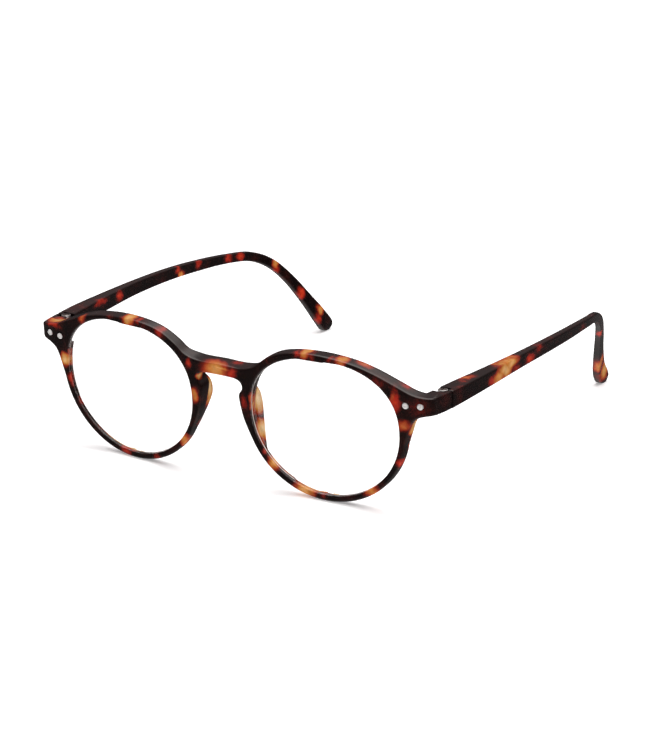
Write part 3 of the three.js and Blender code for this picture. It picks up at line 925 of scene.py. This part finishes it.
def painted_wall_light(nodes):
    """Painted light on the lower inner walls of the front: how far their colour is lifted towards
    pale amber.
    """
    place = nodes.vector("MULTIPLY_ADD", nodes.place, (1 / MM,) * 3, tuple(-ORIGIN))
    x = nodes.vector("DOT_PRODUCT", place, (1, 0, 0), output=1)
    height = nodes.vector("DOT_PRODUCT", place, (0, -math.sin(TILT), math.cos(TILT)), output=1)
    back = nodes.vector("DOT_PRODUCT", place, (0, math.cos(TILT), math.sin(TILT)), output=1)
    bow = nodes.math("MULTIPLY", nodes.math("MULTIPLY", x, x), WRAP)
    depth = nodes.math("SUBTRACT", back, bow)
    across = nodes.math("SUBTRACT", nodes.math("ABSOLUTE", x), LENS_CENTRE)
    up = nodes.math("SUBTRACT", height, LENS_RISE)
    square = nodes.math("ADD", nodes.math("MULTIPLY", across, across), nodes.math("MULTIPLY", up, up))
    wall = nodes.range(square, *PAINTED_LIGHT_WALL, 1, 0)
    behind = nodes.range(depth, *PAINTED_LIGHT_DEPTH, 0, 1)
    low = nodes.range(height, *PAINTED_LIGHT_LEVEL, 0, 1)
    mottled = nodes.range(nodes.noise(nodes.place, PAINTED_LIGHT_SCALE), 0.4, 0.6, *PAINTED_LIGHT_STRENGTH)
    where = nodes.math("MULTIPLY", wall, behind)
    return nodes.math("MULTIPLY", where, nodes.math("MULTIPLY", low, mottled))


def patch_field(nodes, place, patches, reach):
    """Highest of the patches at each point, each a soft hill as high as its strength."""
    field = 0.0
    for centre, half_sizes, strength in patches:
        scale = [1 / (half * reach * MM) for half in half_sizes]
        shift = [-c * s for c, s in zip(centre, scale)]
        away = nodes.vector("MULTIPLY_ADD", place, scale, shift)
        square = nodes.vector("DOT_PRODUCT", away, away, output=1)
        root = math.sqrt(strength)
        field = nodes.math("MAXIMUM", nodes.math("MULTIPLY_ADD", square, -root, root), field)
    return nodes.math("MULTIPLY", field, field)


def wandering(nodes):
    """The place of each point, moved a little by a slow noise so that outlines wander."""
    noise = nodes.noise(nodes.place, WANDER_SCALE, output="Color")
    shift = nodes.vector("SCALE", nodes.vector("SUBTRACT", noise, (0.5, 0.5, 0.5)))
    nodes.feed(shift.node.inputs["Scale"], WANDER_REACH)
    return nodes.vector("ADD", nodes.place, shift)


def tortoiseshell(name, patches, painted_light=None):
    """Dark brown plastic with clouds of red, amber and honey.

    A patch is its place in metres, its half sizes in millimetres and its strength: below 0.35 it
    is red, at 0.5 it is amber in the middle and at 1 it is cream.
    """
    nodes = Nodes(name)
    place = wandering(nodes)
    reds = [patch for patch in patches if patch[2] < RED_BELOW]
    ambers = [patch for patch in patches if patch[2] >= RED_BELOW]
    ragged = nodes.noise(place, RAGGED_SCALE, 3.0, 0.6)
    ragged = nodes.range(ragged, 0.3, 0.7, -RAGGED_REACH, RAGGED_REACH)
    smoke = nodes.noise(nodes.place, SMOKE_SCALE, 3.0, 0.55)
    smoke = nodes.range(smoke, 0.48, 0.78, 0.0, SMOKE_STRENGTH)
    red = nodes.math("ADD", patch_field(nodes, place, reds, PATCH_REACH["red"]), ragged)
    red = nodes.math("MAXIMUM", red, smoke)
    amber = nodes.math("ADD", patch_field(nodes, place, ambers, PATCH_REACH["amber"]), ragged)
    # painted light: the lower inner walls are lifted towards pale amber
    if painted_light:
        amber = nodes.math("MAXIMUM", amber, painted_light(nodes))
    colour = nodes.mix(nodes.ramp(amber, AMBER_RAMP), nodes.ramp(red, RED_RAMP), "LIGHTEN")
    streaks = nodes.range(nodes.noise(nodes.place, STREAK_SCALE), 0.3, 0.75, *STREAK_SHADES)
    colour = nodes.mix(colour, nodes.grey(streaks), "MULTIPLY")
    rough = nodes.range(nodes.noise(nodes.place, GLOSS_SCALE, 3.0), 0.3, 0.7, *GLOSS)
    nodes.set(
        Base_Color=colour, Roughness=rough, IOR=1.48, Specular_Tint=(1.0, 0.91, 0.85, 1.0),
        Subsurface_Weight=0.1, Subsurface_Radius=(1.0, 0.35, 0.12), Subsurface_Scale=0.0008,
    )
    nodes.bump(nodes.noise(nodes.place, RIPPLE_SCALE), 0.05, 0.00004)
    return nodes.material


def clear_lens():
    nodes = Nodes("clear_lens")
    film = nodes.noise(nodes.place, FILM_SCALE)
    tint = nodes.ramp(film, [(0.3, (0.985, 0.992, 0.99)), (0.7, (0.995, 0.998, 1.0))])
    rough = nodes.range(film, 0.3, 0.7, 0.0, 0.012)
    nodes.set(Base_Color=tint, Roughness=rough, IOR=1.49, Transmission_Weight=1.0)
    return nodes.material


def ground_edge_and_glint(name, dark, light):
    """The ground bevel of a lens, with fine grinding marks, a pale colour that is partly a painted
    glint, and a painted glow of light (emission).
    """
    nodes = Nodes(name)
    marks = nodes.noise(nodes.place, GRINDING_SCALE, 3.0, 0.6)
    colour = nodes.ramp(marks, [(0.35, dark), (0.65, light)])
    rough = nodes.range(marks, 0.3, 0.7, 0.45, 0.7)
    # the emission is painted light: it makes the bevel glow though no lamp lights it there
    nodes.set(Base_Color=colour, Roughness=rough, Emission_Color=colour, Emission_Strength=0.22)
    nodes.bump(marks, 0.1, 0.00001)
    return nodes.material


def brushed_metal(name, dark, light, rough_range, stretch, metallic=1.0):
    """Drawn or turned metal: fine lines along one direction, in colour, gloss and height."""
    nodes = Nodes(name)
    along = nodes.vector("MULTIPLY", nodes.place, stretch)
    lines = nodes.noise(along, BRUSHING_SCALE, 3.0, 0.6)
    clouds = nodes.math("MULTIPLY", nodes.noise(nodes.place, CLOUD_SCALE), 0.3)
    shade = nodes.math("MULTIPLY_ADD", lines, 0.7, clouds)
    colour = nodes.ramp(shade, [(0.3, dark), (0.7, light)])
    rough = nodes.range(lines, 0.3, 0.7, *rough_range)
    nodes.set(Base_Color=colour, Roughness=rough, Metallic=metallic)
    nodes.bump(lines, 0.1, 0.00001)
    return nodes.material


# ---------------------------------------------------------------- where the colours lie

# Patches of the front: x, height, depth, half sizes along x, height and depth, strength.
FRONT_PATCHES = [
    # the wearer's right: end piece and brow
    (-59.8, 13.8, 4.4, 6.4, 2.3, 5.4, 0.92),
    (-60.0, 12.9, 0.2, 5.6, 1.6, 2.4, 0.28),
    (-47.4, 17.6, 0.4, 2.1, 3.0, 3.0, 0.44),
    (-36.4, 20.6, 0.5, 2.4, 1.2, 2.0, 0.14),
    (-30.2, 20.8, 1.6, 2.8, 3.2, 5.2, 0.78),
    (-26.9, 21.2, 1.8, 1.8, 2.4, 4.6, 0.24),
    (-19.5, 19.6, 1.4, 2.5, 3.0, 4.4, 0.25),
    (-18.6, 20.6, 3.0, 2.0, 1.6, 2.0, 0.22),
    # the wearer's right: beside the nose
    (-10.1, 11.7, 0.4, 1.9, 2.7, 2.6, 0.30),
    (-6.9, 8.2, 1.6, 1.3, 1.5, 2.4, 0.86),
    (-8.6, 2.7, 0.4, 1.9, 3.3, 2.4, 0.56),
    (-7.0, 2.6, 0.9, 1.2, 3.4, 2.0, 0.20),
    # the wearer's right: lower rim
    (-13.5, -12.8, 1.6, 2.4, 3.0, 4.4, 0.70),
    (-23.6, -20.2, 1.0, 2.4, 1.9, 3.0, 0.24),
    (-35.6, -21.6, 1.2, 3.4, 2.4, 3.6, 0.27),
    (-33.0, -20.6, 1.6, 2.0, 1.2, 2.4, 0.38),
    (-45.5, -17.4, 1.6, 3.6, 2.0, 3.0, 0.15),
    (-51.8, -9.4, 1.4, 1.9, 2.6, 3.0, 0.28),
    (-54.5, -2.9, 1.0, 1.9, 3.4, 3.2, 0.27),
    (-55.7, 3.1, 1.2, 2.5, 3.0, 4.0, 0.88),
    (-54.2, 5.6, 1.4, 1.4, 2.4, 2.4, 0.60),
    # bridge
    (-1.0, 11.7, 0.2, 6.2, 5.2, 3.2, 0.66),
    (0.4, 12.6, 0.2, 4.6, 0.9, 1.6, 0.74),
    (4.4, 11.6, 0.6, 2.2, 3.4, 2.8, 0.28),
    (4.6, 13.6, 3.6, 3.0, 1.4, 2.6, 0.20),
    # the wearer's left: brow and end piece
    (16.2, 17.4, 1.8, 3.6, 3.0, 3.0, 0.15),
    (25.4, 20.8, 0.8, 1.7, 2.4, 3.4, 0.24),
    (27.8, 21.0, 2.0, 2.3, 2.8, 5.2, 0.66),
    (30.0, 20.6, 0.8, 1.5, 2.0, 3.0, 0.22),
    (38.8, 20.4, 1.6, 2.6, 2.8, 4.4, 0.62),
    (36.0, 20.6, 0.6, 1.7, 2.0, 2.6, 0.20),
    (44.6, 19.8, 3.4, 4.4, 1.6, 2.6, 0.42),
    (43.5, 18.4, 0.4, 3.2, 1.2, 1.8, 0.14),
    (49.5, 16.2, 0.6, 4.0, 2.6, 2.6, 0.16),
    (56.0, 14.8, 3.2, 4.6, 1.7, 2.6, 0.22),
    (54.2, 11.4, 0.4, 2.4, 5.8, 2.6, 0.28),
    (53.7, 12.4, 0.2, 1.3, 2.4, 1.8, 0.40),
    (60.5, 10.0, 0.6, 6.2, 4.4, 3.4, 0.14),
    (64.6, 10.6, 6.0, 2.4, 3.4, 5.0, 0.11),
    (56.4, 4.2, 0.6, 3.0, 2.6, 2.6, 0.46),
    # the wearer's left: outer wall and lower rim
    (58.4, 2.6, 2.6, 1.6, 5.4, 3.0, 1.00),
    (57.6, -3.4, 3.0, 1.7, 5.6, 2.6, 0.92),
    (55.2, -9.0, 2.8, 1.4, 3.8, 2.4, 0.44),
    (54.8, -7.6, 0.8, 1.8, 2.7, 3.2, 0.29),
    (46.2, -17.4, 1.2, 3.8, 3.0, 3.8, 0.66),
    (31.4, -21.4, 1.0, 2.2, 1.8, 2.8, 0.20),
    (25.4, -20.2, 1.2, 5.2, 2.9, 3.8, 0.72),
    (16.0, -14.2, 1.2, 2.4, 3.4, 3.8, 0.72),
    (13.6, -11.0, 0.8, 1.5, 2.0, 2.8, 0.25),
    # the wearer's left: beside the nose
    (7.9, 2.8, 0.2, 2.0, 3.8, 1.5, 0.20),
    (10.6, 3.4, 0.8, 1.1, 4.6, 2.4, 0.56),
    (11.2, 2.0, 2.6, 1.5, 7.4, 2.2, 0.86),
    (12.6, -6.4, 2.6, 1.6, 4.8, 2.2, 0.66),
    # nose pads
    (8.9, 2.6, 6.0, 2.8, 5.6, 5.0, 1.00),
    (10.8, -6.0, 4.8, 2.8, 4.4, 4.2, 0.90),
    (-8.6, 1.6, 6.6, 2.6, 6.2, 3.6, 1.15),
    (-10.6, -7.2, 4.0, 2.2, 2.8, 2.8, 0.40),
]

# Patches of the temples: x, y, z, half sizes along x, y and z, strength.
LEFT_PATCHES = [
    (64.4, 24.4, 14.3, 3.0, 5.0, 1.3, 0.56),
    (66.0, 17.5, 13.9, 2.6, 3.2, 1.0, 0.16),
    (66.4, 38.4, 10.8, 4.2, 5.2, 2.8, 0.66),
    (66.6, 42.0, 12.2, 4.2, 6.4, 2.8, 0.84),
    (66.6, 45.6, 13.3, 4.2, 5.8, 2.5, 0.80),
    (66.0, 40.6, 14.5, 4.0, 5.6, 1.4, 0.62),
    (66.8, 34.6, 10.4, 3.6, 4.2, 2.4, 0.27),
    (66.8, 49.0, 10.6, 3.4, 4.6, 2.2, 0.22),
    (66.8, 57.2, 11.2, 3.6, 4.2, 3.0, 0.31),
    (66.8, 62.6, 12.8, 3.2, 4.8, 2.4, 0.20),
    (66.4, 96.0, 10.2, 3.2, 5.0, 2.4, 0.15),
    (58.6, 125.0, -0.2, 2.8, 3.0, 2.8, 0.27),
    (53.8, 136.8, -14.2, 3.4, 3.6, 5.2, 0.56),
    (52.4, 142.6, -17.2, 3.0, 4.6, 5.6, 0.74),
]
RIGHT_PATCHES = [
    (-63.0, 20.0, 14.2, 3.0, 5.0, 1.2, 0.15),
    (-63.0, 30.5, 12.8, 3.4, 6.4, 1.9, 0.25),
    (-64.0, 42.0, 12.3, 3.4, 3.0, 2.6, 0.31),
    (-64.6, 76.8, 10.6, 3.0, 2.5, 2.4, 0.62),
    (-64.6, 75.4, 12.4, 3.0, 2.5, 2.2, 0.30),
    (-64.0, 86.0, 12.0, 2.8, 2.5, 2.4, 0.27),
    (-62.4, 101.2, 10.8, 2.8, 3.0, 2.6, 0.29),
    (-61.6, 107.0, 10.0, 2.8, 2.6, 2.6, 0.32),
    (-58.4, 122.6, 5.0, 2.6, 2.1, 3.0, 0.62),
    (-57.8, 122.8, 3.0, 2.4, 2.1, 2.6, 0.27),
    (-53.8, 132.0, -7.2, 2.8, 2.8, 3.2, 0.33),
    (-51.0, 140.0, -14.0, 2.6, 2.8, 2.9, 0.62),
    (-50.8, 138.6, -16.8, 2.6, 3.0, 3.2, 0.26),
]


def in_metres(points):
    return ((np.asarray(points, float) + ORIGIN) * MM).tolist()


def front_patches():
    rows = np.array(FRONT_PATCHES)
    centres = in_metres(on_front(rows[:, :3]))
    return [
        (centre, (wide, deep, high), strength)
        for centre, (wide, high, deep, strength) in zip(centres, rows[:, 3:].tolist())
    ]


def temple_patches(table):
    rows = np.array(table)
    return [
        (centre, tuple(row[:3]), row[3])
        for centre, row in zip(in_metres(rows[:, :3]), rows[:, 3:].tolist())
    ]


# ---------------------------------------------------------------- making the pieces

def make_glasses():
    # the front's pattern carries painted light on its lower inner walls
    front_pattern = tortoiseshell("front_tortoiseshell", front_patches(), painted_wall_light)
    # the lens bevel: frosted grinding marks, with a pale colour and emission that paint a glint of
    # light
    frosted_and_glint = ground_edge_and_glint("lens_bevel", (0.70, 0.58, 0.52), (0.92, 0.83, 0.78))
    lens_glass = [clear_lens(), frosted_and_glint, front_pattern]
    nickel = brushed_metal(
        "satin_nickel", (0.40, 0.39, 0.38), (0.68, 0.67, 0.65), (0.24, 0.40), (1.0, 0.12, 1.0)
    )
    screw_steel = brushed_metal(
        "bright_screw", (0.20, 0.17, 0.15), (0.46, 0.42, 0.39), (0.16, 0.30), (1.0, 1.0, 0.2)
    )
    rivet_silver = brushed_metal(
        "satin_silver", (0.78, 0.77, 0.75), (0.92, 0.91, 0.89), (0.32, 0.45), (1.0, 0.3, 1.0), 0.3
    )

    front = front_frame()
    finish_piece(front, "front", [front_pattern], ["front_frame"])
    for hand, side, table in (("left", 1, LEFT_PATCHES), ("right", -1, RIGHT_PATCHES)):
        arm = f"{hand}_arm"
        pattern = tortoiseshell(f"{hand}_temple_tortoiseshell", temple_patches(table))
        for name, piece, body, slot, materials in [
            ("temple", temple(side), arm, "temple", [pattern]),
            ("lens", lens(side), "front", "lens", lens_glass),
            ("front_leaf", hinge_leaf(side, False, (0, 2), (1,)), "front", "hinge", [nickel]),
            ("temple_leaf", hinge_leaf(side, True, (1,), (0, 2)), arm, "hinge", [nickel]),
            ("hinge_screw", hinge_screw(side), "front", "screw", [screw_steel]),
        ]:
            piece.name = f"finished_{hand}_{name}"
            finish_piece(piece, body, materials, [f"{hand}_{name}"])
            if name == "lens":
                piece.visible_shadow = False
        for number, (x, height) in enumerate(RIVET_PLACES, 1):
            pin = rivet(side * x, height)
            pin.name = f"finished_{hand}_rivet_{number}"
            finish_piece(pin, "front", [rivet_silver], [f"{hand}_rivet_{number}"])


# ---------------------------------------------------------------- stage, light and camera

def make_floor():
    half = FLOOR_HALF
    corners = [(-half, -half, 0), (half, -half, 0), (half, half, 0), (-half, half, 0)]
    floor = raw_object("floor", corners, [(0, 1, 2, 3)])
    nodes = Nodes("pale_floor")
    paper = nodes.noise(nodes.place, FLOOR_SCALE, 3.0)
    nodes.set(
        Base_Color=nodes.ramp(paper, [(0.3, (0.93, 0.93, 0.93)), (0.7, (0.96, 0.96, 0.96))]),
        Roughness=0.9, Specular_IOR_Level=0.0,
        Emission_Color=(1, 1, 1, 1), Emission_Strength=FLOOR_GLOW,
    )
    floor.data.materials.append(nodes.material)
    floor.visible_glossy = False


def make_backdrop():
    """A pale surround beyond the floor, seen only directly or through the lenses."""
    profile = [(BACKDROP_RADIUS, 0), (BACKDROP_RADIUS, BACKDROP_HEIGHT)]
    points, faces = turned(profile, ROUND_SIDES)
    walls = [face for face in faces if len(face) == 4]
    backdrop = raw_object("backdrop", points[:-2], walls)
    nodes = Nodes("pale_backdrop")
    paper = nodes.noise(nodes.place, BACKDROP_SCALE)
    nodes.set(
        Base_Color=nodes.ramp(paper, [(0.3, (0.95, 0.95, 0.95)), (0.7, (0.97, 0.97, 0.97))]),
        Roughness=0.9, Emission_Color=(1, 1, 1, 1), Emission_Strength=1.0,
    )
    backdrop.data.materials.append(nodes.material)
    backdrop.visible_diffuse = False
    backdrop.visible_glossy = False
    backdrop.visible_shadow = False


def make_world():
    """Soft light that depends only on the height it comes from."""
    world = bpy.data.worlds.new("studio")
    bpy.context.scene.world = world
    world.use_nodes = True
    tree = world.node_tree
    place = tree.nodes.new("ShaderNodeTexCoord").outputs["Generated"]
    split = tree.nodes.new("ShaderNodeSeparateXYZ")
    tree.links.new(place, split.inputs[0])
    span = tree.nodes.new("ShaderNodeMapRange")
    span.inputs["From Min"].default_value = -1
    tree.links.new(split.outputs["Z"], span.inputs["Value"])
    ramp = tree.nodes.new("ShaderNodeValToRGB")
    tree.links.new(span.outputs[0], ramp.inputs["Fac"])
    fill_ramp(ramp, [(level, (red, red * cool, red * cool)) for level, red, cool in SKY])
    tree.links.new(ramp.outputs["Color"], tree.nodes["Background"].inputs["Color"])


def make_overhead():
    light = bpy.data.lights.new("overhead", "AREA")
    light.shape = "RECTANGLE"
    light.size, light.size_y = OVERHEAD_SIZE
    light.energy = OVERHEAD_POWER
    holder = bpy.data.objects.new("overhead", light)
    holder.location = OVERHEAD_PLACE
    holder.rotation_euler = (-Vector(OVERHEAD_PLACE)).to_track_quat("-Z", "Y").to_euler()
    bpy.context.scene.collection.objects.link(holder)


def make_camera():
    azimuth, elevation, roll = (math.radians(angle) for angle in CAMERA_ANGLES)
    level = math.cos(elevation)
    back = Vector((math.sin(azimuth) * level, -math.cos(azimuth) * level, math.sin(elevation)))
    right = Vector((math.cos(azimuth), math.sin(azimuth), 0))
    up = back.cross(right)
    right, up = (
        right * math.cos(roll) + up * math.sin(roll),
        up * math.cos(roll) - right * math.sin(roll),
    )
    data = bpy.data.cameras.new("camera")
    data.lens = CAMERA_LENS
    data.clip_start, data.clip_end = CAMERA_CLIP
    camera = bpy.data.objects.new("camera", data)
    pose = Matrix((right, up, back)).transposed().to_4x4()
    pose.translation = Vector((np.array(CAMERA_PLACE) + ORIGIN) * MM)
    camera.matrix_world = pose
    bpy.context.scene.collection.objects.link(camera)
    bpy.context.scene.camera = camera


make_camera()
make_floor()
make_backdrop()
make_world()
make_overhead()
make_glasses()

bpy.context.scene.view_settings.view_transform = "Standard"
